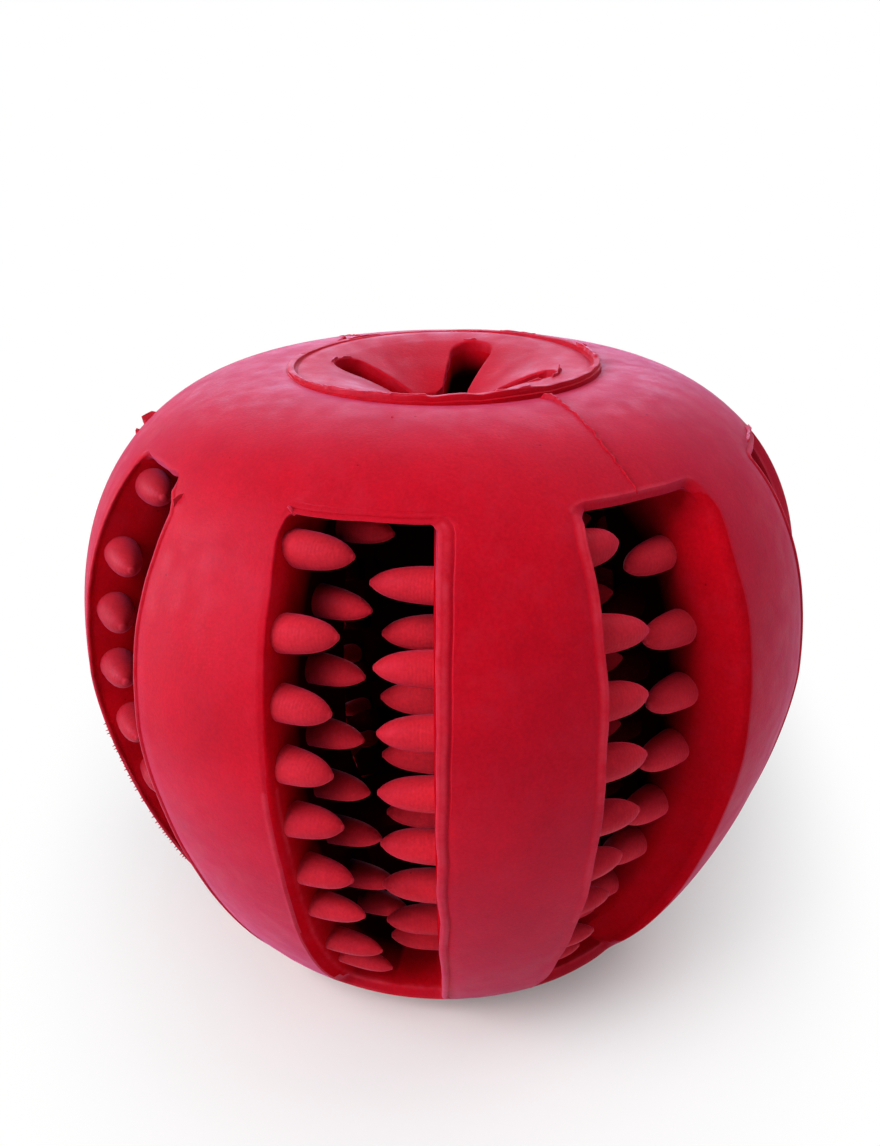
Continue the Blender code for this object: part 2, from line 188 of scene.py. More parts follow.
# Across the lip: distance from its inner edge, shares of its height and of the groove's depth
LIP_ROWS = np.array((
    (-0.36, 0, 0), (-0.26, 0, 0.7), (-0.18, 0, 1.0), (-0.08, 0, 0.9), (0, 0.15, 0.2),
    (0.05, 0.88, 0), (0.12, 1.0, 0), (0.38, 1.03, 0), (0.57, 1.0, 0), (0.62, 0.92, 0),
    (0.64, 0.52, 0), (0.75, 0.44, 0.2)))
LAND = RING_TOP - 0.4
LAND_BACK, LAND_LEFT = 0.8, 0.2
LAND_POWER = 1.5
RING_TILT = math.radians(1.0)
FLANGE_THICKNESS = 3.0
SEAT_GAP = 0.3
# Fall of the crown towards the front of the ring, and how far it runs out
BRIM_DROP, BRIM_RUN = 0.22, 1.6
DISH_RADIUS = 11.0
DISH_DEPTH = 3.1
DISH_POWER = 1.6
FUNNEL_THICKNESS = 3.0
HOLE_RADIUS = 3.3
LEDGE_RADIUS = 11.5
LEDGE_GAP = 0.3
BOSS_DEPTH = 4.0
BOSS_WALL = 1.5
SLOT_COUNT = 4
SLOT_LONGITUDE = math.radians(-5.5)
SLOT_OUTER, SLOT_OUTER_RADIUS = 8.85, 2.05
SLOT_INNER, SLOT_INNER_RADIUS = 3.0, 1.15
SLOT_FILLET = 0.2
SLOT_TEAR, SLOT_TEAR_RUN = 0.1, 0.6
# Rounding of the petals' corners at the hole
TIP_RADIUS = 0.9
FOLD_RADIUS = 7.7
FOLD_REACH = 2.0

# Camera, from a fit to the photo's outline, ring and window edges
PHOTO_HEIGHT = 1146.0
FOCAL_PIXELS = 1306.7
CAMERA_LONGITUDE = math.radians(12.4)
CAMERA_DISTANCE = 121.4
CAMERA_HEIGHT = 86.1
CAMERA_PITCH = math.radians(21.61)
CAMERA_YAW = 0.0036
CAMERA_ROLL = -0.0051

# Mould seam over the crown: arcs, longitudes, heights and half widths
SEAM = (
    (0.4, 1.8, 3.0, 4.5, 10.0, 14.7), (45.3, 47.0, 46.2, 45.9, 44.4, 45.5),
    (0.4, 0.36, 0.24, 0.18, 0.14, 0.12), (0.2, 0.2, 0.13, 0.1, 0.09, 0.08))
SEAM_STEPS = 90
# Its twin at the back: longitude, and shares of the heights and widths
FAR_SEAM, FAR_HEIGHT, FAR_WIDTH = 225.0, 0.4, 0.6
# Torn flash on the skin: longitude and arc of both ends, depth, both heights, half width, tear
SKIN_FLASH = (
    (-79.5, 13.9, -76.8, 15.5, 0, 0.15, 0.85, 0.16, 0.25),
    (-76.4, 15.8, -75.4, 16.5, 0, 0.32, 0.22, 0.12, 0.3),
    (-34.4, 15.9, -35.2, 17.6, 0, 0.35, 0.45, 0.09, 0.4),
    (-13.2, 15.0, -11.2, 15.5, 0, 0.25, 0.25, 0.15, 0.5),
    (33.9, 16.7, 33.4, 19.4, 0.95, 0.22, 0.22, 0.14, 1.0),
    (86.0, 15.1, 97.0, 15.1, 0, 0.25, 0.4, 0.2, 0.3),
    (4.0, 3.5, 6.2, 3.3, 0, 0.07, 0.07, 0.06, 0.6),
    (-1.6, 3.9, 0.2, 3.8, 0, 0.06, 0.06, 0.05, 0.6),
    (-128.0, 0.5, -121.0, 0.5, 0, 0.32, 0.32, 0.3, 0.5),
    (131.0, 0.2, 131.0, 1.9, 0, 0.35, 0.35, 0.45, 0.5),
)
# Torn flash on the ring: longitude and radius of both ends, height, half width
RING_FLASH = (
    (-36.0, 14.25, 8.0, 14.3, 0.12, 0.14), (29.0, 14.25, 45.0, 14.3, 0.16, 0.25),
    (-58.0, 14.4, -30.0, 14.45, 0.1, 0.16), (-50.0, 13.5, -30.0, 13.6, 0.1, 0.16),
    (-108.0, 9.9, -100.0, 11.05, 0.14, 0.12), (-101.0, 11.1, -89.0, 11.1, 0.18, 0.12),
    (67.0, 8.8, 73.5, 10.4, 0.18, 0.12), (75.0, 10.95, 92.0, 11.1, 0.24, 0.14),
    (83.0, 11.1, 86.5, 11.1, 1.3, 0.12), (100.0, 14.2, 128.0, 14.3, 0.16, 0.28),
    (150.0, 14.3, 170.0, 14.4, 0.08, 0.2), (173.0, 11.2, 184.0, 11.1, 0.16, 0.14),
    (218.0, 14.4, 236.0, 14.4, 0.1, 0.18),
)
RING_FLASH_TEAR = 0.5
# Row of fine spikes down one window's edge: longitude, arcs of its ends, height, spacing
SPIKES = (-55.6, 42.3, 60.0, 0.32, 0.36)
SPIKE_SHAPE = np.array((0.0, 0.5, 1.0, 0.4, 0.0))
SPIKE_WIDTH = 0.1
# Section of a ridge, as shares of its half width and height
RIDGE_SECTION = ((-1.0, 0.0), (-0.45, 1.0), (0.35, 1.0), (1.0, 0.0))
RIDGE_TEAR = 0.3
FLASH_SINK, END_SINK = 0.15, 0.2
FLASH_STEP = 0.22

# Studio: the floor's natural shade lies behind the toy and fades into white
SHADE_BACK = 55.0
SHADE_STRETCH = 2.2
SHADE_FADE = (24.0, 56.0)
WORLD_LIGHT = 0.1
LAMP_DISTANCE = 0.55
# Name, azimuth, elevation, size, power, colour if it isn't white
LAMPS = (
    ("key", -45.0, 34.0, 0.36, 3.3),
    ("front_top", -20.0, 60.0, 0.36, 0.37),
    ("back_right", 115.0, 60.0, 0.36, 1.15),
    ("right", 85.0, 16.0, 0.36, 0.25, (1.0, 0.85, 0.95)),
)
# Cool cards that show only as a soft gloss
CARDS = (
    ("left_card", -70.0, 8.0, 0.5, 10.0, (0.85, 0.9, 1.0)),
    ("back_card", 195.0, 30.0, 0.5, 4.0, (0.6, 0.65, 1.0)),
)

# Colours
RED = (0.46, 0.0021, 0.0085)
# Flash is painted paler than the body, as painted light of thin, edge-lit rubber
FLASH_RED = (0.5, 0.014, 0.026)
TOOTH_RED = (0.5, 0.015, 0.027)
PALE = (0.6, 0.045, 0.075, 1.0)
BLOOM = (0.46, 0.01, 0.026, 1.0)
WARM_RED = (0.5, 0.0075, 0.005, 1.0)
DUST = (0.75, 0.42, 0.46, 1.0)
BLACK = (0.0, 0.0, 0.0, 1.0)
WHITE = (1.0, 1.0, 1.0, 1.0)
PAPER = (0.86, 0.86, 0.87, 1.0)
COOL = (0.86, 0.9, 1.0, 1.0)
SHEEN_TINT = (1.0, 0.35, 0.95, 1.0)
GLOSS_TINT = (1.0, 0.45, 1.0, 1.0)


def smoothstep(value, low, high):
    share = np.clip((value - low) / (high - low), 0.0, 1.0)
    return share * share * (3.0 - 2.0 * share)


def ragged(count, step, rng):
    """Noise from -1 to 1 round a closed line, with a knot every few points."""
    knots = rng.uniform(-1.0, 1.0, max(3, count // step))
    spread = np.linspace(0.0, len(knots), count, endpoint=False)
    return np.interp(spread, np.arange(len(knots) + 1), np.append(knots, knots[0]))


def torn(amount, count, step, rng):
    """Factors round 1 along a torn edge."""
    return 1.0 + amount * ragged(count, step, rng)


def waves(angle, rng, harmonics, amplitude):
    """Smooth periodic noise over an angle."""
    total = np.zeros_like(angle)
    for harmonic in harmonics:
        total += rng.normal() * np.sin(harmonic * angle + rng.uniform(0.0, math.tau))
    return amplitude * total / math.sqrt(len(harmonics))


def around(longitude, radius, height):
    """Points from longitude, radius and height."""
    longitude, radius, height = np.broadcast_arrays(longitude, radius, height)
    return np.stack([radius * np.sin(longitude), -radius * np.cos(longitude), height], -1)


def facing(longitude):
    """One on the camera's side, zero on the far side."""
    return 0.5 + 0.5 * np.cos(longitude - CAMERA_LONGITUDE)


def rightward(longitude):
    """One at the camera's right, minus one at its left."""
    return np.sin(longitude - CAMERA_LONGITUDE)


class Patches:
    """Grids of quads, collected in millimetres and welded into one mesh."""

    def __init__(self):
        self.points = []
        self.faces = []
        self.count = 0

    def add(self, grid, closed=False):
        index = self.count + np.arange(grid[..., 0].size).reshape(grid.shape[:2])
        self.count += index.size
        if closed:
            index = np.hstack([index, index[:, :1]])
        corners = (index[:-1, :-1], index[:-1, 1:], index[1:, 1:], index[1:, :-1])
        self.points.append(grid.reshape(-1, 3))
        self.faces.append(np.stack(corners, -1).reshape(-1, 4))

    def mesh(self, name, sharp_angle):
        mesh = bpy.data.meshes.new(name)
        points = np.concatenate(self.points) * MM
        mesh.from_pydata(points.tolist(), [], np.concatenate(self.faces).tolist())
        bm = bmesh.new()
        bm.from_mesh(mesh)
        bmesh.ops.remove_doubles(bm, verts=bm.verts, dist=0.002 * MM)
        bmesh.ops.recalc_face_normals(bm, faces=bm.faces)
        bm.to_mesh(mesh)
        bm.free()
        mesh.shade_smooth()
        mesh.set_sharp_from_angle(angle=math.radians(sharp_angle))
        return mesh


def add_object(data):
    obj = bpy.data.objects.new(data.name, data)
    SCENE.collection.objects.link(obj)
    return obj


def piece(mesh, material):
    obj = add_object(mesh)
    mesh.materials.append(material)
    return obj


def second_material(mesh, material, chosen):
    """Give the faces whose points are all chosen a second material."""
    mesh.materials.append(material)
    for face in mesh.polygons:
        face.material_index = int(chosen[list(face.vertices)].all())


def mark(mesh, name, values):
    """Store a number per point for the material."""
    mesh.attributes.new(name, "FLOAT", "POINT").data.foreach_set("value", values)


def mesh_points(mesh):
    """A mesh's points in millimetres."""
    points = np.empty(3 * len(mesh.vertices))
    mesh.vertices.foreach_get("co", points)
    return points.reshape(-1, 3) / MM


def mesh_places(mesh):
    """Longitude, radius and height of a mesh's points."""
    x, y, height = mesh_points(mesh).T
    return np.arctan2(x, -y), np.hypot(x, y), height


def nearest(points, targets):
    """Distance from each point to its nearest target."""
    tree = KDTree(len(targets))
    for index, target in enumerate(targets):
        tree.insert(target, index)
    tree.balance()
    return np.array([tree.find(point)[2] for point in points])


# Skin, cavity and the ruled walls between them

def skin_table():
    """Radius, height and arc of the skin, from the ring to the middle of the calyx."""
    turn = np.linspace(math.pi / 2.0, -math.pi / 2.0, FLANK_STEPS)
    across = np.maximum(np.cos(turn), 0.0)
    up = np.abs(np.sin(turn))
    upper = turn >= 0.0
    radius = np.where(
        upper, RING_RADIUS + (MAX_RADIUS - RING_RADIUS) * across ** UPPER_POWERS[0],
        FOOT_RADIUS + (MAX_RADIUS - FOOT_RADIUS) * across ** LOWER_POWERS[0])
    height = np.where(
        upper, EQUATOR + CROWN_RISE * up ** UPPER_POWERS[1], EQUATOR * (1.0 - up ** LOWER_POWERS[1]))
    dish = np.linspace(1.0, 0.0, 200)
    radius = np.r_[radius, dish * CALYX_RADIUS]
    height = np.r_[height, CALYX_DEPTH * (0.5 + 0.5 * np.cos(math.pi * dish ** CALYX_POWER))]
    return radius, height, np.r_[0.0, np.cumsum(np.hypot(np.diff(radius), np.diff(height)))]


SKIN_RADIUS, SKIN_HEIGHT, SKIN_ARC = skin_table()


def skin_at(arc):
    return np.interp(arc, SKIN_ARC, SKIN_RADIUS), np.interp(arc, SKIN_ARC, SKIN_HEIGHT)


def arc_at(height):
    """Arc on the flank of the skin at a height."""
    return float(np.interp(-height, -SKIN_HEIGHT[:FLANK_STEPS], SKIN_ARC[:FLANK_STEPS]))


def inward_at(arc):
    """Radial and vertical part of the normal that points into the rubber."""
    step = 0.5
    along = np.subtract(skin_at(arc + step), skin_at(arc - step))
    along = along / np.hypot(*along)
    return np.array([along[1], -along[0]])


ARC_TOP = arc_at(WINDOW_TOP)
ARC_BOTTOM = arc_at(WINDOW_BOTTOM)
SEAT = RING_TOP - FLANGE_THICKNESS - SEAT_GAP
ROOF_FOOT = (LEDGE_RADIUS + BOSS_WALL, SEAT - BOSS_DEPTH)


def cavity_radius(height):
    share = (height - CAVITY_CENTRE) / CAVITY_HALF_HEIGHT
    return CAVITY_RADIUS * np.sqrt(np.maximum(0.0, 1.0 - share * share))


def inner_table():
    """The inner surface over the same arcs: roof, cavity beside the windows, floor."""
    roof = math.hypot(cavity_radius(WINDOW_TOP) - ROOF_FOOT[0], WINDOW_TOP - ROOF_FOOT[1])
    share = np.linspace(0.0, 1.0, 80)
    side_height = WINDOW_TOP + (FLOOR_HEIGHT - WINDOW_TOP) * share
    side_arc = ARC_TOP + (ARC_BOTTOM - ARC_TOP) * share
    floor_edge = cavity_radius(FLOOR_HEIGHT)
    out = np.linspace(1.0, 0.0, 40)[1:]
    arc = np.r_[ARC_TOP - roof, side_arc, ARC_BOTTOM + floor_edge * (1.0 - out)]
    radius = np.r_[ROOF_FOOT[0], cavity_radius(side_height), floor_edge * out]
    floor_height = FLOOR_HEIGHT + FLOOR_RISE * np.cos(out * math.pi / 2.0)
    return arc, radius, np.r_[ROOF_FOOT[1], side_height, floor_height]


INNER_ARC, INNER_RADIUS, INNER_HEIGHT = inner_table()


def inner_at(arc):
    return np.interp(arc, INNER_ARC, INNER_RADIUS), np.interp(arc, INNER_ARC, INNER_HEIGHT)


def wall_points(longitude, arc, depth=0.0, share=None):
    """Points between the skin and the inner surface, by depth or by share of the way."""
    outer = np.array(skin_at(arc))
    across = inner_at(arc) - outer
    start = np.minimum(depth / np.hypot(*across), 1.0)
    if share is not None:
        start = start + (1.0 - start) * share
    return around(longitude, *(outer + across * start))


CORNER_TURNS = np.linspace(math.pi / 2.0, 0.0, CORNER_STEPS + 1)
TOP_SHARE = np.linspace(0.0, 1.0, TOP_STEPS + 1)[:-1]
HALF_RUNS = np.cumsum([0, TOP_STEPS, CORNER_STEPS + 1, SIDE_STEPS - 1, CORNER_STEPS + 1, TOP_STEPS])
HALF_COUNT = HALF_RUNS[-1]
LOOP_COUNT = 2 * HALF_COUNT - 2
TOP_CORNER = TOP_STEPS + CORNER_STEPS // 2
BOTTOM_CORNER = HALF_COUNT - 1 - TOP_CORNER
SHIFT_WEIGHT = np.r_[TOP_SHARE, np.ones(HALF_COUNT - 2 * TOP_STEPS), TOP_SHARE[::-1]]


def half_window(edge, shift, square=False):
    """Distance from a window's middle and arc along the right half of a line outside its hole.

    The shift moves the upright side; a square line has unrounded corners.
    """
    top_arc, bottom_arc = ARC_TOP + CORNER_RADIUS, ARC_BOTTOM - CORNER_RADIUS
    top_x, bottom_x = WINDOW_HALF_ANGLE * skin_at((top_arc, bottom_arc))[0] - CORNER_RADIUS
    side_arc = np.linspace(top_arc, bottom_arc, SIDE_STEPS + 1)[1:-1]
    if square:
        corner_x = 1.0 / np.maximum(np.tan(CORNER_TURNS), 1.0)
        corner_s = np.minimum(np.tan(CORNER_TURNS), 1.0)
    else:
        corner_x, corner_s = np.cos(CORNER_TURNS), np.sin(CORNER_TURNS)
    parts = [edge[first:last] for first, last in zip(HALF_RUNS, HALF_RUNS[1:])]
    reach = [CORNER_RADIUS + part for part in parts]
    x = np.r_[
        top_x * TOP_SHARE, top_x + reach[1] * corner_x,
        WINDOW_HALF_ANGLE * skin_at(side_arc)[0] + parts[2],
        bottom_x + reach[3] * corner_x[::-1], bottom_x * TOP_SHARE[::-1]]
    arc = np.r_[
        ARC_TOP - parts[0], top_arc - reach[1] * corner_s, side_arc,
        bottom_arc + reach[3] * corner_s[::-1], ARC_BOTTOM + parts[4]]
    return x + shift * SHIFT_WEIGHT, arc


HALF_ARC = half_window(np.zeros(HALF_COUNT), 0.0)[1] - ARC_TOP
SIDE_START = np.r_[np.zeros(TOP_STEPS), np.linspace(0.0, 1.0, CORNER_STEPS + 1)]
SIDE_WEIGHT = np.r_[SIDE_START, np.ones(SIDE_STEPS - 1), SIDE_START[::-1]]


def loop(right, left):
    """Values once round a window, from those of its right and left halves."""
    return np.concatenate([right, left[..., -2:0:-1]], -1)


def halves(values):
    """Right and left half of values that run once round a window."""
    return values[:HALF_COUNT], values[-np.arange(HALF_COUNT)]


def window_points(turn, edge, shifts=(0.0, 0.0), square=False, depth=0.0, share=None):
    """Points once round the window at a longitude, some way outside its hole."""
    right_edge, left_edge = halves(np.broadcast_to(edge, LOOP_COUNT))
    right_x, right_arc = half_window(right_edge, shifts[1], square)
    left_x, left_arc = half_window(left_edge, shifts[0], square)
    arc = loop(right_arc, left_arc)
    return wall_points(turn + loop(right_x, -left_x) / skin_at(arc)[0], arc, depth, share)


def window_sides(index, rng):
    """Shifts of a window's two edges, and the share of each section all round it."""
    jitter = rng.normal(0.0, EDGE_JITTER, (2, len(EDGE_ARCS)))
    blends = [share * CHAMFER + (1.0 - share) * LIP for share in rng.uniform(0.0, 1.0, 2)]
    by_chance = (jitter[0], blends[0], blends[0], jitter[1], blends[1], blends[1], CHAMFER)
    left, left_top, left_foot, right, right_top, right_foot, lintel = WINDOW_EDGES.get(index, by_chance)
    shifts = [np.interp(HALF_ARC, EDGE_ARCS, side) for side in (left, right)]
    down = np.clip(HALF_ARC / EDGE_ARCS[-1], 0.0, 1.0)
    ends = np.where(np.arange(HALF_COUNT) < HALF_COUNT // 2, lintel[:, None], CHAMFER[:, None])
    shares = []
    for top, foot in ((right_top, right_foot), (left_top, left_foot)):
        side = top[:, None] + (foot - top)[:, None] * down
        shares.append(ends + (side - ends) * SIDE_WEIGHT)
    return shifts, loop(*shares)


def skin_depth(mesh):
    """How deep each point of a mesh lies under the skin."""
    _, radius, height = mesh_places(mesh)
    skin = np.c_[SKIN_RADIUS, SKIN_HEIGHT, 0.0 * SKIN_RADIUS]
    return nearest(np.c_[radius, height, 0.0 * radius], skin)


def shell_depth(mesh):
    """Depth of the shell's points, with more where shade is painted as if they lay deeper."""
    longitude, radius, height = mesh_places(mesh)
    depth = skin_depth(mesh)
    longitude = np.degrees(longitude) % 360.0
    blind = (longitude > BLIND_WALL[0]) & (longitude < BLIND_WALL[1]) & (depth > BLIND_FROM)
    seat = (radius < RING_RADIUS - 0.05) & (height > CAVITY_CENTRE)
    spacing = 360.0 / WINDOW_COUNT
    window, place = np.divmod(longitude + spacing / 2.0, spacing)
    beside = (height > WINDOW_BOTTOM + 0.8) & (height < WINDOW_TOP - 0.3)
    left = beside & (place < spacing / 2.0) & (depth > LEFT_FROM)
    rounded = beside & (place > spacing / 2.0) & (depth > ROUND_FROM) & (window == ROUND_WINDOW)
    left_sink = np.where(window == PALE_WINDOW, PALE_SINK, LEFT_SINK)
    return depth + INSIDE_SINK * (blind | seat) + left_sink * left + ROUND_SINK * rounded


def make_shell(material, hollow):
    """Crown, bars and base as one closed skin, with a trimmed hole for each window."""
    rng = np.random.default_rng(SEED)
    patches = Patches()
    crests = []
    collar_x, collar_arc = half_window(np.full(HALF_COUNT, COLLAR), 0.0, square=True)
    collar = collar_x / skin_at(collar_arc)[0]
    sides = slice(TOP_CORNER, BOTTOM_CORNER + 1)
    share = np.linspace(0.0, 1.0, BAR_STEPS + 1)

    def bar_columns(edge):
        return edge + (WINDOW_SPACING - 2.0 * edge) * share

    def all_columns(edge):
        return np.r_[-edge[:0:-1], edge, bar_columns(edge[-1])[1:]]

    top_columns = all_columns(collar[:TOP_CORNER + 1])
    foot_columns = all_columns(collar[BOTTOM_CORNER:][::-1])

    crown_arc = np.append(np.linspace(ARC_TOP - COLLAR, 0.0, 15)[:-1], (0.6, 0.35))
    roof_arc = np.linspace(INNER_ARC[0], ARC_TOP - COLLAR, 4)[1:]
    brim = skin_at(0.2)[1]
    crown = np.array([
        *zip(*skin_at(crown_arc)),
        (RING_RADIUS + 0.05, brim), (RING_RADIUS + 0.01, brim - 0.04), (RING_RADIUS, brim - 0.1),
        (RING_RADIUS, SEAT), (LEDGE_RADIUS, SEAT), (LEDGE_RADIUS, ROOF_FOOT[1]), ROOF_FOOT,
        *zip(*inner_at(roof_arc))])
    near_ring = 1.0 - smoothstep(crown[:, :1], RING_RADIUS, RING_RADIUS + BRIM_RUN)
    base_arc = np.linspace(ARC_BOTTOM + COLLAR, SKIN_ARC[-1], 26)
    floor_arc = np.linspace(ARC_BOTTOM + COLLAR, INNER_ARC[-1], 10)
    angle = np.linspace(0.0, math.tau, LOOP_COUNT, endpoint=False)

    for index in range(WINDOW_COUNT):
        turn = index * WINDOW_SPACING
        wander = waves(angle, rng, range(3, 24), EDGE_WAVES) + EDGE_TEAR * ragged(LOOP_COUNT, 2, rng)
        shifts, shares = window_sides(index, rng)
        lines = []
        for edge, depth in np.einsum("kl,kpe->pel", shares, EDGE_SECTIONS):
            hold = np.clip((COLLAR - edge) / (COLLAR - EDGE_HOLD), 0.0, 1.0)
            held = [shift * side for shift, side in zip(shifts, halves(hold)[::-1])]
            lines.append(window_points(turn, edge + wander * hold, held, depth=depth))
        kinds = shares.argmax(axis=0)
        for crest in EDGE_CRESTS[kinds].T:
            crests.append(np.array(lines)[crest, np.arange(LOOP_COUNT)][NO_PALE_CRESTS[kinds] == 0.0])
        lines.append(window_points(turn, COLLAR, square=True))
        patches.add(np.array(lines), closed=True)

        walls = [lines[0]]
        for wall_share in WALL_SHARES:
            fade = max(0.0, 1.0 - wall_share / SHIFT_DEPTH)
            faded = [shift * fade for shift in shifts]
            walls.append(window_points(turn, wander * fade, faded, depth=EDGE_DEPTH, share=wall_share))
        walls += [window_points(turn, edge, share=1.0) for edge in (1.0, 2.0)]
        walls.append(window_points(turn, COLLAR, square=True, share=1.0))
        patches.add(np.array(walls), closed=True)

        bar = turn + np.array([bar_columns(edge) for edge in collar[sides]])
        bar_arc = collar_arc[sides][:, None]
        patches.add(wall_points(bar, bar_arc))
        patches.add(wall_points(bar, bar_arc, share=1.0))
        columns = turn + top_columns
        fall = BRIM_DROP * facing(columns) ** 2 * near_ring
        patches.add(around(columns, crown[:, :1], crown[:, 1:] - fall))
        patches.add(wall_points(turn + foot_columns, base_arc[:, None]))
        patches.add(wall_points(turn + foot_columns, floor_arc[:, None], share=1.0))

    mesh = patches.mesh("shell_skin", 32.0)
    # The depth mark carries the extra depth for painted shade; faces deeper than a set depth take the
    # shaded copy of the rubber
    depth = shell_depth(mesh)
    mark(mesh, "depth", depth)
    mark(mesh, "edge", nearest(mesh_points(mesh), np.concatenate(crests)))
    shell = piece(mesh, material)
    second_material(mesh, hollow, depth > SHELL_SHADE_FROM)
    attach(shell, "shell")
    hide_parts("crown", "base", *(f"bar_{index + 1}" for index in range(WINDOW_COUNT)))


def tooth_template():
    """Points and faces of one bullet of unit length and radius along +X."""
    x, radius = np.array(TOOTH_SECTION).T[:, :, None]
    angle = np.linspace(0.0, math.tau, TOOTH_SIDES, endpoint=False)
    rings = np.broadcast_arrays(x, radius * np.cos(angle), radius * np.sin(angle))
    points = np.r_[np.stack(rings, -1).reshape(-1, 3), [(x[0, 0], 0.0, 0.0), (1.0, 0.0, 0.0)]]
    root, tip = len(points) - 2, len(points) - 1
    last = root - TOOTH_SIDES
    faces = []
    for side in range(TOOTH_SIDES):
        after = (side + 1) % TOOTH_SIDES
        faces.append((root, after, side))
        for low in range(0, last, TOOTH_SIDES):
            high = low + TOOTH_SIDES
            faces.append((low + side, low + after, high + after, high + side))
        faces.append((last + side, last + after, tip))
    return points, faces


def tooth_places(bar, rng):
    """Side, radius, height, length, thickness and painted light and shade of every tooth on one bar."""
    window_run = ARC_BOTTOM - ARC_TOP
    for row, (side, depth, length, thick, thin, arcs) in enumerate(TOOTH_ROWS):
        for tooth, below in enumerate(arcs):
            arc = ARC_TOP + below + ROW_SHIFTS.get((bar, row), 0.0) + rng.normal(0.0, PLACE_SPREAD)
            radius, height = np.array(skin_at(arc)) + depth * inward_at(arc)
            taper = float(smoothstep(below, TAPER_START * window_run, window_run))
            reach = ODD_TEETH.get((bar, row, tooth), length) * rng.normal(1.0, LENGTH_SPREAD)
            thickness = (thick + (thin - thick) * taper) * rng.normal(1.0, BULK_SPREAD)
            yield side, radius, height, reach, thickness, SHADED_ROWS.get((bar, row), ROW_PAINTED_LIGHT[row])


def make_teeth(material, dull):
    """The tooth rows of each bar, every tooth a little different."""
    rng = np.random.default_rng(SEED + 1)
    template, template_faces = tooth_template()
    x = template[:, 0]
    up = Vector((0.0, 0.0, 1.0))
    for bar in range(WINDOW_COUNT):
        points, faces, marks = [], [], []
        for side, radius, height, reach, thickness, row_light in tooth_places(bar, rng):
            longitude = (bar + 0.5) * WINDOW_SPACING + side * BAR_HALF_ANGLE
            forward = Vector((math.cos(longitude), math.sin(longitude), 0.0)) * side
            outward = Vector((math.sin(longitude), -math.cos(longitude), 0.0))
            lean = rng.normal(0.0, LEAN_SPREAD, 2)
            axis = (forward + up * lean[0] + outward * lean[1]).normalized()
            across = axis.cross(up).normalized()
            above = across.cross(axis)
            turned = (template * (reach, thickness, thickness)) @ np.array([axis, across, above])
            first = len(points) * len(template)
            faces += [tuple(first + corner for corner in face) for face in template_faces]
            points.append(turned + around(longitude, radius, height))
            marks.append((x * reach + ROOT_SHADE * (side < 0), (1.0 - x) * reach, np.full(len(x), row_light)))
        mesh = bpy.data.meshes.new(f"teeth_{bar + 1}")
        mesh.from_pydata((np.concatenate(points) * MM).tolist(), [], faces)
        mesh.shade_smooth()
        marks = np.concatenate(marks, axis=1)
        for name, values in zip(("along", "tip", "row_light"), marks):
            mark(mesh, name, values)
        mark(mesh, "depth", skin_depth(mesh))
        teeth = piece(mesh, material)
        # Teeth painted darkest take a dull copy of the rubber, with no sheen or gloss
        second_material(mesh, dull, marks[2] < DULL_BELOW)
        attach(teeth, "shell")


# Funnel

def dish_top(radius):
    """Top of the funnel: a flat land that falls towards the hole."""
    share = np.maximum(DISH_RADIUS - radius, 0.0) / (DISH_RADIUS - HOLE_RADIUS)
    return LAND - DISH_DEPTH * share ** DISH_POWER


def ring_tilt(longitude, radius):
    """Rise of the ring's right side and fall of its left."""
    return math.tan(RING_TILT) * radius * rightward(longitude)


def lip_height(longitude):
    """Height of the lip over the land: high in front, almost flush at the back."""
    right = np.maximum(0.0, rightward(longitude))
    return LIP_BACK + LIP_FRONT * facing(longitude) ** LIP_RUN + LIP_RIGHT * right


def funnel_top(longitude, radius):
    """Top of the tilted funnel without its lip; its land rises at the back and left."""
    left = np.maximum(0.0, -rightward(longitude))
    rise = LAND_BACK * (1.0 - facing(longitude)) ** LAND_POWER + LAND_LEFT * left
    rise = rise * smoothstep(radius, FOLD_RADIUS, RING_RADIUS - LIP_WIDTH)
    return dish_top(radius) + rise + ring_tilt(longitude, radius)


SLOT_TAPER = math.asin((SLOT_OUTER_RADIUS - SLOT_INNER_RADIUS) / (SLOT_OUTER - SLOT_INNER))
SLOT_OFFSET = SLOT_INNER_RADIUS - SLOT_INNER * math.sin(SLOT_TAPER)
SLOT_TANGENT = math.hypot(
    SLOT_OUTER - SLOT_OUTER_RADIUS * math.sin(SLOT_TAPER), SLOT_OUTER_RADIUS * math.cos(SLOT_TAPER))
SLOT_END = SLOT_OUTER + SLOT_OUTER_RADIUS


def slot_half_angle(radius):
    """Half of the angle that a slot takes at a radius."""
    line = SLOT_TAPER + np.arcsin(np.clip(SLOT_OFFSET / radius, -1.0, 1.0))
    level = (radius ** 2 + SLOT_OUTER ** 2 - SLOT_OUTER_RADIUS ** 2) / (2.0 * radius * SLOT_OUTER)
    end = np.arccos(np.clip(level, -1.0, 1.0))
    return np.where(radius < SLOT_TANGENT, line, np.where(radius < SLOT_END, end, 0.0))


def slot_distance(radius, angle):
    """Distance from a slot's edge, at an angle from the slot's middle line."""
    x, y = radius * np.cos(angle), radius * np.sin(angle)
    line = y * math.cos(SLOT_TAPER) - x * math.sin(SLOT_TAPER) - SLOT_OFFSET
    end = np.hypot(x - SLOT_OUTER, y) - SLOT_OUTER_RADIUS
    beyond = x + y * math.tan(SLOT_TAPER) > SLOT_OUTER
    return np.where(beyond, end, line)


def funnel_depth(mesh):
    """How deep each point lies under the funnel's top."""
    longitude, radius, height = mesh_places(mesh)
    return np.maximum(funnel_top(longitude, radius) - height, 0.0)


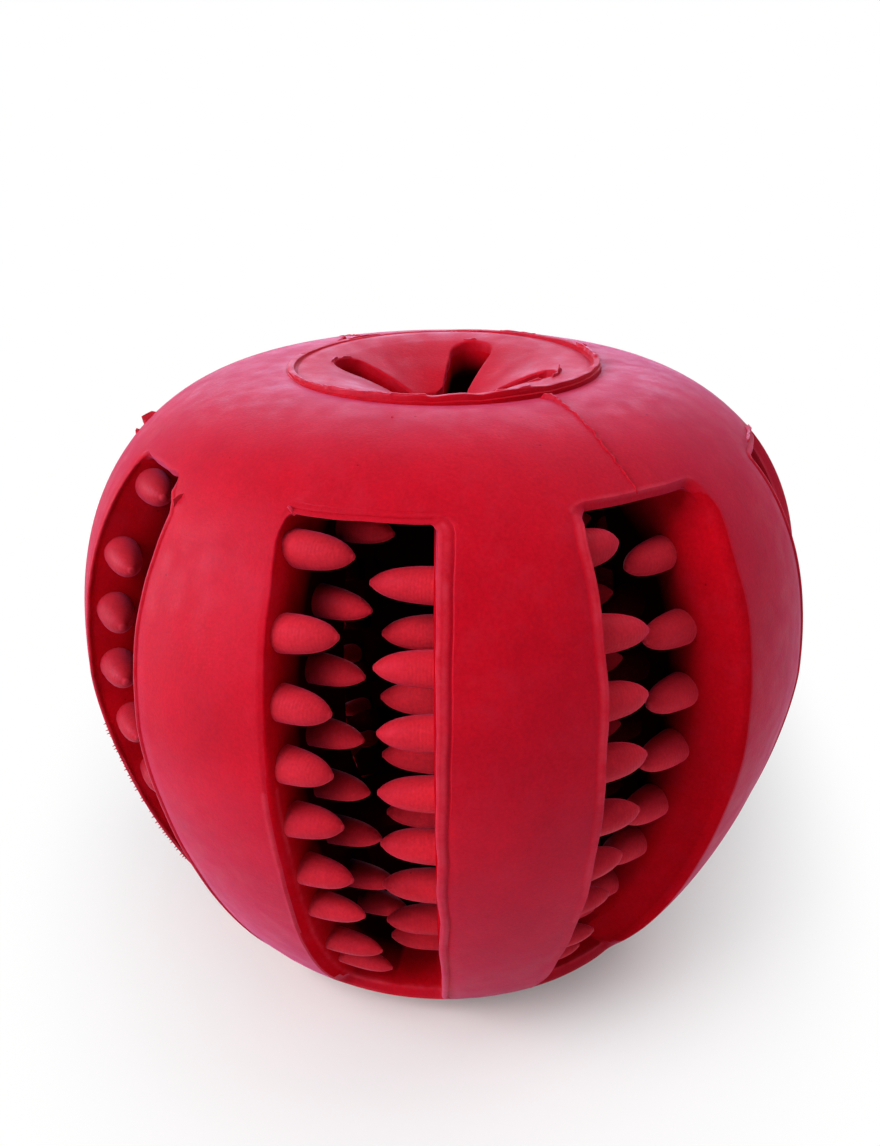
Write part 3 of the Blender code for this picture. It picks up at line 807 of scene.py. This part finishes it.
def make_funnel(material, hollow):
    """Four quarters of the funnel, from slot to slot."""
    rng = np.random.default_rng(SEED + 2)
    hole_rows = HOLE_RADIUS + np.array([0.0, 0.06, 0.16, 0.3, 0.5, 0.8])
    line_rows = np.linspace(HOLE_RADIUS + 1.1, SLOT_TANGENT, 12)
    gamma = np.linspace(math.pi / 2.0 + SLOT_TAPER, 0.0, 14)[1:]
    end_rows = np.sqrt(
        SLOT_OUTER ** 2 + SLOT_OUTER_RADIUS ** 2 + 2.0 * SLOT_OUTER * SLOT_OUTER_RADIUS * np.cos(gamma))
    land_rows = SLOT_END + np.array([0.08, 0.2, 0.36, 0.58, 0.9, 1.4, 2.0])
    lip_rows = RING_RADIUS - LIP_WIDTH + LIP_ROWS[:, 0]
    radius = np.r_[hole_rows, line_rows, end_rows, land_rows, lip_rows]
    plain = np.zeros(len(radius) - len(lip_rows))
    rise = np.r_[plain, LIP_ROWS[:, 1]][:, None]
    groove = np.r_[plain, LIP_GROOVE * LIP_ROWS[:, 2]][:, None]
    quarter = math.tau / SLOT_COUNT
    near = np.array([0.0, 0.04, 0.12, 0.24, 0.4, 0.6, 0.9])
    middle = np.linspace(0.0, 1.0, 49)[1:-1]
    half_angle = slot_half_angle(radius)
    corner = np.clip(TIP_RADIUS - (radius - HOLE_RADIUS), 0.0, TIP_RADIUS)
    tip = TIP_RADIUS - np.sqrt(TIP_RADIUS ** 2 - corner ** 2)
    reach = quarter / 2.0 - half_angle - tip / radius
    inset = near * np.minimum(1.0, 0.7 * reach * radius / near[-1])[:, None] / radius[:, None]
    tear = SLOT_TEAR * np.clip(half_angle * radius / SLOT_TEAR_RUN, 0.0, 1.0)
    share = np.linspace(0.0, 1.0, 5)[:, None, None]

    for index in range(SLOT_COUNT):
        bisector = SLOT_LONGITUDE + (index + 0.5) * quarter
        left, right = [
            (reach + tear * ragged(len(radius), 2, rng) / radius)[:, None] - inset for _ in range(2)]
        between = -left[:, -1:] + (left[:, -1:] + right[:, -1:]) * middle
        angle = np.hstack([-left, between, right[:, ::-1]])
        longitude = bisector + angle
        spread = np.broadcast_to(radius[:, None], angle.shape)
        clear = slot_distance(spread, quarter / 2.0 - np.abs(angle))
        clear = np.maximum(np.minimum(clear, spread - HOLE_RADIUS), 0.0)
        near_edge = np.clip(SLOT_FILLET - clear, 0.0, SLOT_FILLET)
        fillet = SLOT_FILLET - np.sqrt(SLOT_FILLET ** 2 - near_edge ** 2)
        lip = rise * lip_height(longitude) * torn(LIP_TEAR, angle.shape[1], 3, rng) - groove
        under = np.where(
            spread < LEDGE_RADIUS - LEDGE_GAP, dish_top(spread) - FUNNEL_THICKNESS,
            RING_TOP - FLANGE_THICKNESS)
        upper = around(longitude, spread, funnel_top(longitude, spread) - fillet + lip)
        lower = around(longitude, spread, under + ring_tilt(longitude, spread))
        patches = Patches()
        patches.add(upper)
        patches.add(lower)
        for strip in (np.s_[:, 0], np.s_[:, -1], np.s_[0, :], np.s_[-1, :]):
            patches.add(upper[strip] + (lower[strip] - upper[strip]) * share)
        mesh = patches.mesh(f"funnel_{index + 1}", 35.0)
        depth = funnel_depth(mesh)
        mark(mesh, "depth", depth)
        quarter_piece = piece(mesh, material)
        # Faces deep under the funnel's top take the shaded copy of the rubber, with painted shade
        second_material(mesh, hollow, depth > FUNNEL_SHADE_FROM)
        fold_radii = np.r_[FOLD_RADIUS, FOLD_RADIUS - FOLD_REACH]
        fold = around(bisector, fold_radii, dish_top(FOLD_RADIUS)) * MM
        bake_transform(quarter_piece)
        nodes = [f"funnel_petal_{index + 1}"] + (["funnel_ring"] if index == 0 else [])
        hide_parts(*nodes)


# Mould seams and torn flash

def add_ridge(patches, path, up, height, half_width):
    """Thin wedge along a path, with a sunk foot and ends that run out."""
    across = np.cross(np.gradient(path, axis=0), up)
    across /= np.linalg.norm(across, axis=1, keepdims=True)
    fade = np.minimum(1.0, np.minimum(np.arange(len(path)), np.arange(len(path))[::-1]) / 2.0)
    rows = []
    for side, lift in RIDGE_SECTION:
        rise = lift * (height * fade + FLASH_SINK) - FLASH_SINK - END_SINK * (1.0 - fade) * lift
        rows.append(path + across * (side * half_width)[:, None] + up * rise[:, None])
    patches.add(np.array(rows))
    patches.add(np.array([rows[-1], rows[0]]))


def skin_path(longitude, arc):
    """Points on the skin and their outward normals."""
    radius, height = skin_at(arc)
    inward = inward_at(arc)
    return around(longitude, radius, height), around(longitude, -inward[0], -inward[1])


def ring_path(longitude, radius):
    """Points on the funnel's land or on its lip, and their upward normals."""
    on_lip = radius > RING_RADIUS - LIP_WIDTH + 0.1
    path = around(longitude, radius, funnel_top(longitude, radius) + lip_height(longitude) * on_lip)
    return path, np.broadcast_to((0.0, 0.0, 1.0), path.shape)


def add_flash(patches, rng, surface, radius, wander, step, row):
    """One torn ridge on a surface, which wanders off its straight line."""
    first, first_place, last, last_place, depth, first_high, last_high, half_width, tear = row
    run = math.hypot(math.radians(last - first) * radius, last_place - first_place)
    count = max(6, int(run / FLASH_STEP))
    place = np.linspace(first_place, last_place, count) + wander * ragged(count, step, rng)
    path, up = surface(np.radians(np.linspace(first, last, count)), place)
    high = np.linspace(first_high, last_high, count) * torn(tear, count, 2, rng)
    add_ridge(patches, path - depth * up, up, high, half_width * torn(RIDGE_TEAR, count, 2, rng))


def make_seams(material):
    """Mould seam over the crown and its faint twin on the far side."""
    rng = np.random.default_rng(SEED + 3)
    patches = Patches()
    arc = np.linspace(SEAM[0][0], SEAM[0][-1], SEAM_STEPS)
    longitude, height, width = [np.interp(arc, SEAM[0], values) for values in SEAM[1:]]
    longitude = np.radians(longitude + 0.25 * ragged(SEAM_STEPS, 3, rng))
    height = height * torn(0.35, SEAM_STEPS, 2, rng)
    width = width * torn(RIDGE_TEAR, SEAM_STEPS, 2, rng)
    add_ridge(patches, *skin_path(longitude, arc), height, width)
    far_side = np.radians(FAR_SEAM + 0.8 * ragged(SEAM_STEPS, 9, rng))
    add_ridge(patches, *skin_path(far_side, arc), height * FAR_HEIGHT, width * FAR_WIDTH)
    seams = piece(patches.mesh("seams", 60.0), material)
    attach(seams, "shell")


def make_flash(material):
    """Torn flash that trimming left on the skin and on the ring."""
    rng = np.random.default_rng(SEED + 4)
    patches = Patches()
    for row in SKIN_FLASH:
        add_flash(patches, rng, skin_path, skin_at(row[1])[0], 0.1, 3, row)
    longitude, first_arc, last_arc, high, pitch = SPIKES
    count = len(SPIKE_SHAPE)
    for arc in np.arange(first_arc, last_arc, pitch):
        stations = arc + pitch * np.linspace(0.0, 1.0, count)
        path, up = skin_path(math.radians(longitude), stations)
        spike = high * rng.uniform(0.2, 1.2) * SPIKE_SHAPE
        add_ridge(patches, path, up, spike, np.full(count, SPIKE_WIDTH))
    for *ends, high, half_width in RING_FLASH:
        row = (*ends, 0.0, high, high, half_width, RING_FLASH_TEAR)
        add_flash(patches, rng, ring_path, ends[1], 0.08, 2, row)
    flash = piece(patches.mesh("flash", 60.0), material)
    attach(flash, "shell")


# Materials

class Nodes:
    """Short hand for the node tree of a material or a world."""

    def __init__(self, owner):
        owner.use_nodes = True
        self.tree = owner.node_tree

    def fill(self, node, inputs):
        """Link a node's inputs to other sockets, or give them constants."""
        for name, value in inputs.items():
            if isinstance(value, bpy.types.NodeSocket):
                self.tree.links.new(value, node.inputs[name])
            else:
                node.inputs[name].default_value = value

    def add(self, kind, inputs=None, **settings):
        node = self.tree.nodes.new(kind)
        for name, value in settings.items():
            setattr(node, name, value)
        self.fill(node, inputs or {})
        return node

    def attribute(self, name):
        return self.add("ShaderNodeAttribute", attribute_name=name).outputs["Fac"]

    def noise(self, place, scale, detail=2.0, roughness=0.5):
        inputs = {"Vector": place, "Scale": scale, "Detail": detail, "Roughness": roughness}
        return self.add("ShaderNodeTexNoise", inputs).outputs["Fac"]

    def math(self, operation, first, second, **settings):
        node = self.add("ShaderNodeMath", {0: first, 1: second}, operation=operation, **settings)
        return node.outputs[0]

    def stretch(self, place, factors):
        node = self.add("ShaderNodeVectorMath", {0: place, 1: factors}, operation="MULTIPLY")
        return node.outputs["Vector"]

    def span(self, value, low, high, start, end, **settings):
        """Value from low to high turned into start to end, clamped."""
        inputs = {"Value": value, "From Min": low, "From Max": high, "To Min": start, "To Max": end}
        return self.add("ShaderNodeMapRange", inputs, clamp=True, **settings).outputs["Result"]

    def mix(self, factor, first, second, blend="MIX"):
        inputs = {"Factor": factor, "A": first, "B": second}
        node = self.add("ShaderNodeMix", inputs, data_type="RGBA", blend_type=blend)
        return node.outputs["Result"]

    def mix_shaders(self, factor, first, second):
        return self.add("ShaderNodeMixShader", {0: factor, 1: first.outputs[0], 2: second.outputs[0]})

    def spots(self, place, scale, share, size):
        """Small round spots in a share of random cells."""
        cells = self.add("ShaderNodeTexVoronoi", {"Vector": place, "Scale": scale}).outputs
        draw = self.add("ShaderNodeSeparateColor", {"Color": cells["Color"]}).outputs["Red"]
        return self.math(
            "MULTIPLY", self.span(cells["Distance"], 0.4 * size, size, 1.0, 0.0),
            self.math("LESS_THAN", draw, share))


def tone(colour, share):
    return (*(channel * share for channel in colour), 1.0)


def rubber(name, colour, sheen, gloss, sunk=None, worn_and_lit_edges=False, teeth=False):
    """Semi-matte moulded rubber: mottled, with a hazy bloom, specks and a grazing sheen.

    From the first depth in sunk to the second it is painted darker, as shade, down to the share that the
    third gives.
    """
    material = bpy.data.materials.new(name)
    nodes = Nodes(material)
    place = nodes.add("ShaderNodeTexCoord").outputs["Object"]
    cloud = nodes.noise(place, 110.0, 9.0, 0.7)
    haze = nodes.noise(place, 260.0, 8.0, 0.74)
    mottle = nodes.noise(place, 520.0, 3.0)
    warmth = nodes.noise(place, 1900.0)
    grain = nodes.noise(place, 5200.0)
    dirt = nodes.noise(place, 3600.0, 4.0, 0.65)
    streaks = nodes.noise(nodes.stretch(place, (1.0, 1.0, 0.07)), 2600.0, 3.0, 0.6)

    skin = nodes.mix(nodes.span(cloud, 0.32, 0.68, 0.0, 1.0), tone(colour, 0.84), tone(colour, 1.16))
    for share, paint in (
            (nodes.span(dirt, 0.34, 0.66, 0.0, 0.24), tone(colour, 0.55)),
            (nodes.span(dirt, 0.4, 0.6, 0.14, 0.0), tone(colour, 1.5)),
            (nodes.span(streaks, 0.35, 0.65, 0.0, 0.12), tone(colour, 0.7)),
            (nodes.span(haze, 0.48, 0.72, 0.0, 0.5), BLOOM),
            (nodes.span(warmth, 0.64, 0.74, 0.0, 0.4), WARM_RED),
            (nodes.spots(place, 520.0, 0.35, 0.06), tone(colour, 0.35)),
            (nodes.spots(place, 230.0, 0.08, 0.02), DUST)):
        skin = nodes.mix(share, skin, paint)
    # Pale crests on the window edges: wear, and painted highlight where the crests catch light
    if worn_and_lit_edges:
        worn_and_lit = nodes.math(
            "MULTIPLY", nodes.span(nodes.attribute("edge"), 0.06, 0.36, 0.42, 0.0),
            nodes.span(nodes.noise(place, 420.0, 5.0, 0.6), 0.35, 0.62, 0.15, 1.0))
        skin = nodes.mix(worn_and_lit, skin, PALE)
    if teeth:
        # Painted light and shade per row, and a pale tip
        skin = nodes.mix(1.0, skin, nodes.attribute("row_light"), "MULTIPLY")
        skin = nodes.mix(nodes.span(nodes.attribute("tip"), 0.04, 0.16, 0.35, 0.0), skin, PALE)
        # Painted shade at the roots of deep teeth
        shaded = nodes.math(
            "MULTIPLY", nodes.span(nodes.attribute("depth"), 4.0, 7.0, 0.0, 0.95),
            nodes.span(nodes.attribute("along"), 0.5, ROOT_SHADE, 1.0, 0.0))
        skin = nodes.mix(shaded, skin, BLACK)
    # Painted shade that deepens with depth
    if sunk:
        painted_depth_shade = nodes.span(nodes.attribute("depth"), sunk[0], sunk[1], 0.0, 1.0 - sunk[2])
        skin = nodes.mix(painted_depth_shade, skin, BLACK)

    bumps = [(grain, 0.2, 0.00008), (streaks, 0.06, 0.00006), (mottle, 0.1, 0.0003)]
    if teeth:
        turns = nodes.math("MULTIPLY", nodes.attribute("tip"), math.tau / RING_MARK_PITCH)
        wave = nodes.math("SINE", nodes.math("ADD", turns, nodes.math("MULTIPLY", mottle, 6.0)), 0.0)
        bumps.append((wave, 0.11, 0.00005))
    normal = {}
    for height, strength, distance in bumps:
        inputs = {"Height": height, "Strength": strength, "Distance": distance, **normal}
        normal = {"Normal": nodes.add("ShaderNodeBump", inputs).outputs["Normal"]}

    nodes.fill(nodes.tree.nodes["Principled BSDF"], {
        "Base Color": skin, "Roughness": nodes.span(mottle, 0.3, 0.7, 0.44, 0.62), **normal,
        "Sheen Weight": sheen, "Sheen Roughness": 0.45, "Sheen Tint": SHEEN_TINT,
        "Specular IOR Level": gloss, "Specular Tint": GLOSS_TINT})
    return material


# Studio

def seen_rays(nodes):
    """One for camera, glossy and transmission rays, which see the background."""
    rays = nodes.add("ShaderNodeLightPath").outputs
    total = rays["Is Camera Ray"]
    for name in ("Is Glossy Ray", "Is Transmission Ray"):
        total = nodes.math("ADD", total, rays[name], use_clamp=True)
    return total


def studio_floor():
    """Pale floor with the toy's shadow, white away from it and clear from below."""
    bpy.ops.mesh.primitive_plane_add(size=6.0)
    floor = bpy.context.object
    floor.name = "studio_floor"
    floor.rotation_euler.z = CAMERA_LONGITUDE
    floor.location = Vector(around(CAMERA_LONGITUDE + math.pi, SHADE_BACK, 0.0)) * MM
    material = bpy.data.materials.new("floor_paper")
    nodes = Nodes(material)
    shader = nodes.tree.nodes["Principled BSDF"]
    nodes.fill(shader, {"Base Color": PAPER, "Roughness": 0.9, "Specular IOR Level": 0.0})
    place = nodes.add("ShaderNodeTexCoord").outputs["Object"]
    squeezed = nodes.stretch(place, (1.0, 1.0 / SHADE_STRETCH, 0.0))
    far = nodes.add("ShaderNodeVectorMath", {0: squeezed}, operation="LENGTH").outputs["Value"]
    fade = nodes.span(far, *np.multiply(SHADE_FADE, MM), 0.0, 1.0, interpolation_type="SMOOTHSTEP")
    white = nodes.add("ShaderNodeEmission", {"Color": WHITE})
    paper = nodes.mix_shaders(nodes.math("MULTIPLY", fade, seen_rays(nodes)), shader, white)
    under = nodes.add("ShaderNodeNewGeometry").outputs["Backfacing"]
    sheet = nodes.mix_shaders(under, paper, nodes.add("ShaderNodeBsdfTransparent"))
    nodes.fill(nodes.tree.nodes["Material Output"], {"Surface": sheet.outputs[0]})
    floor.data.materials.append(material)


def studio_world():
    """White as a background, softer and slightly cool as a light."""
    SCENE.world = bpy.data.worlds.new("studio")
    nodes = Nodes(SCENE.world)
    light = nodes.tree.nodes["Background"]
    nodes.fill(light, {"Color": COOL, "Strength": WORLD_LIGHT})
    backdrop = nodes.add("ShaderNodeBackground", {"Color": WHITE})
    sky = nodes.mix_shaders(seen_rays(nodes), light, backdrop)
    nodes.fill(nodes.tree.nodes["World Output"], {"Surface": sky.outputs[0]})


def softbox(name, azimuth, elevation, size, power, colour=(1.0, 1.0, 1.0), gloss_only=False):
    """Square area light that looks at the middle of the toy."""
    light = bpy.data.lights.new(name, "AREA")
    light.size = size
    light.energy = power
    light.color = colour
    lamp = add_object(light)
    turn, lift = math.radians(azimuth), math.radians(elevation)
    back = Vector(around(turn, math.cos(lift), math.sin(lift)))
    lamp.location = back * LAMP_DISTANCE + Vector((0.0, 0.0, EQUATOR * MM))
    lamp.rotation_euler = back.to_track_quat("Z", "Y").to_euler()
    lamp.visible_diffuse = not gloss_only


def studio_camera():
    data = bpy.data.cameras.new("photo_camera")
    data.lens = FOCAL_PIXELS / PHOTO_HEIGHT * data.sensor_width
    data.clip_start = 0.005
    camera = add_object(data)
    spot = Matrix.Translation(Vector(around(CAMERA_LONGITUDE, CAMERA_DISTANCE, CAMERA_HEIGHT)) * MM)
    turn = Matrix.Rotation(CAMERA_LONGITUDE + CAMERA_YAW, 4, "Z")
    tilt = Matrix.Rotation(math.pi / 2.0 - CAMERA_PITCH, 4, "X")
    camera.matrix_world = spot @ turn @ tilt @ Matrix.Rotation(CAMERA_ROLL, 4, "Z")
    SCENE.camera = camera


# Shaded copies of the rubber for the hollow and the slots: no sheen or gloss, and painted shade that
# deepens with depth
shaded_hollow_rubber = rubber("shaded_hollow_rubber", RED, 0.0, 0.0, sunk=(4.0, 8.0, 0.03), worn_and_lit_edges=True)
shaded_slot_rubber = rubber("shaded_slot_rubber", RED, 0.0, 0.0, sunk=(1.0, 3.0, 0.04))
make_shell(rubber("shell_rubber", RED, 0.235, 0.05, worn_and_lit_edges=True), shaded_hollow_rubber)
shaded_rubber = rubber("shaded_tooth_rubber", TOOTH_RED, 0.0, 0.0, teeth=True)
make_teeth(rubber("tooth_rubber", TOOTH_RED, 0.09, 0.05, teeth=True), shaded_rubber)
make_funnel(rubber("funnel_rubber", RED, 0.08, 0.06), shaded_slot_rubber)
make_seams(rubber("seam_rubber", RED, 0.2, 0.08))
make_flash(rubber("flash_rubber", FLASH_RED, 0.2, 0.08))
studio_floor()
studio_world()
for lamp in LAMPS:
    softbox(*lamp)
for card in CARDS:
    softbox(*card, gloss_only=True)
studio_camera()

SCENE.view_settings.view_transform = "Standard"
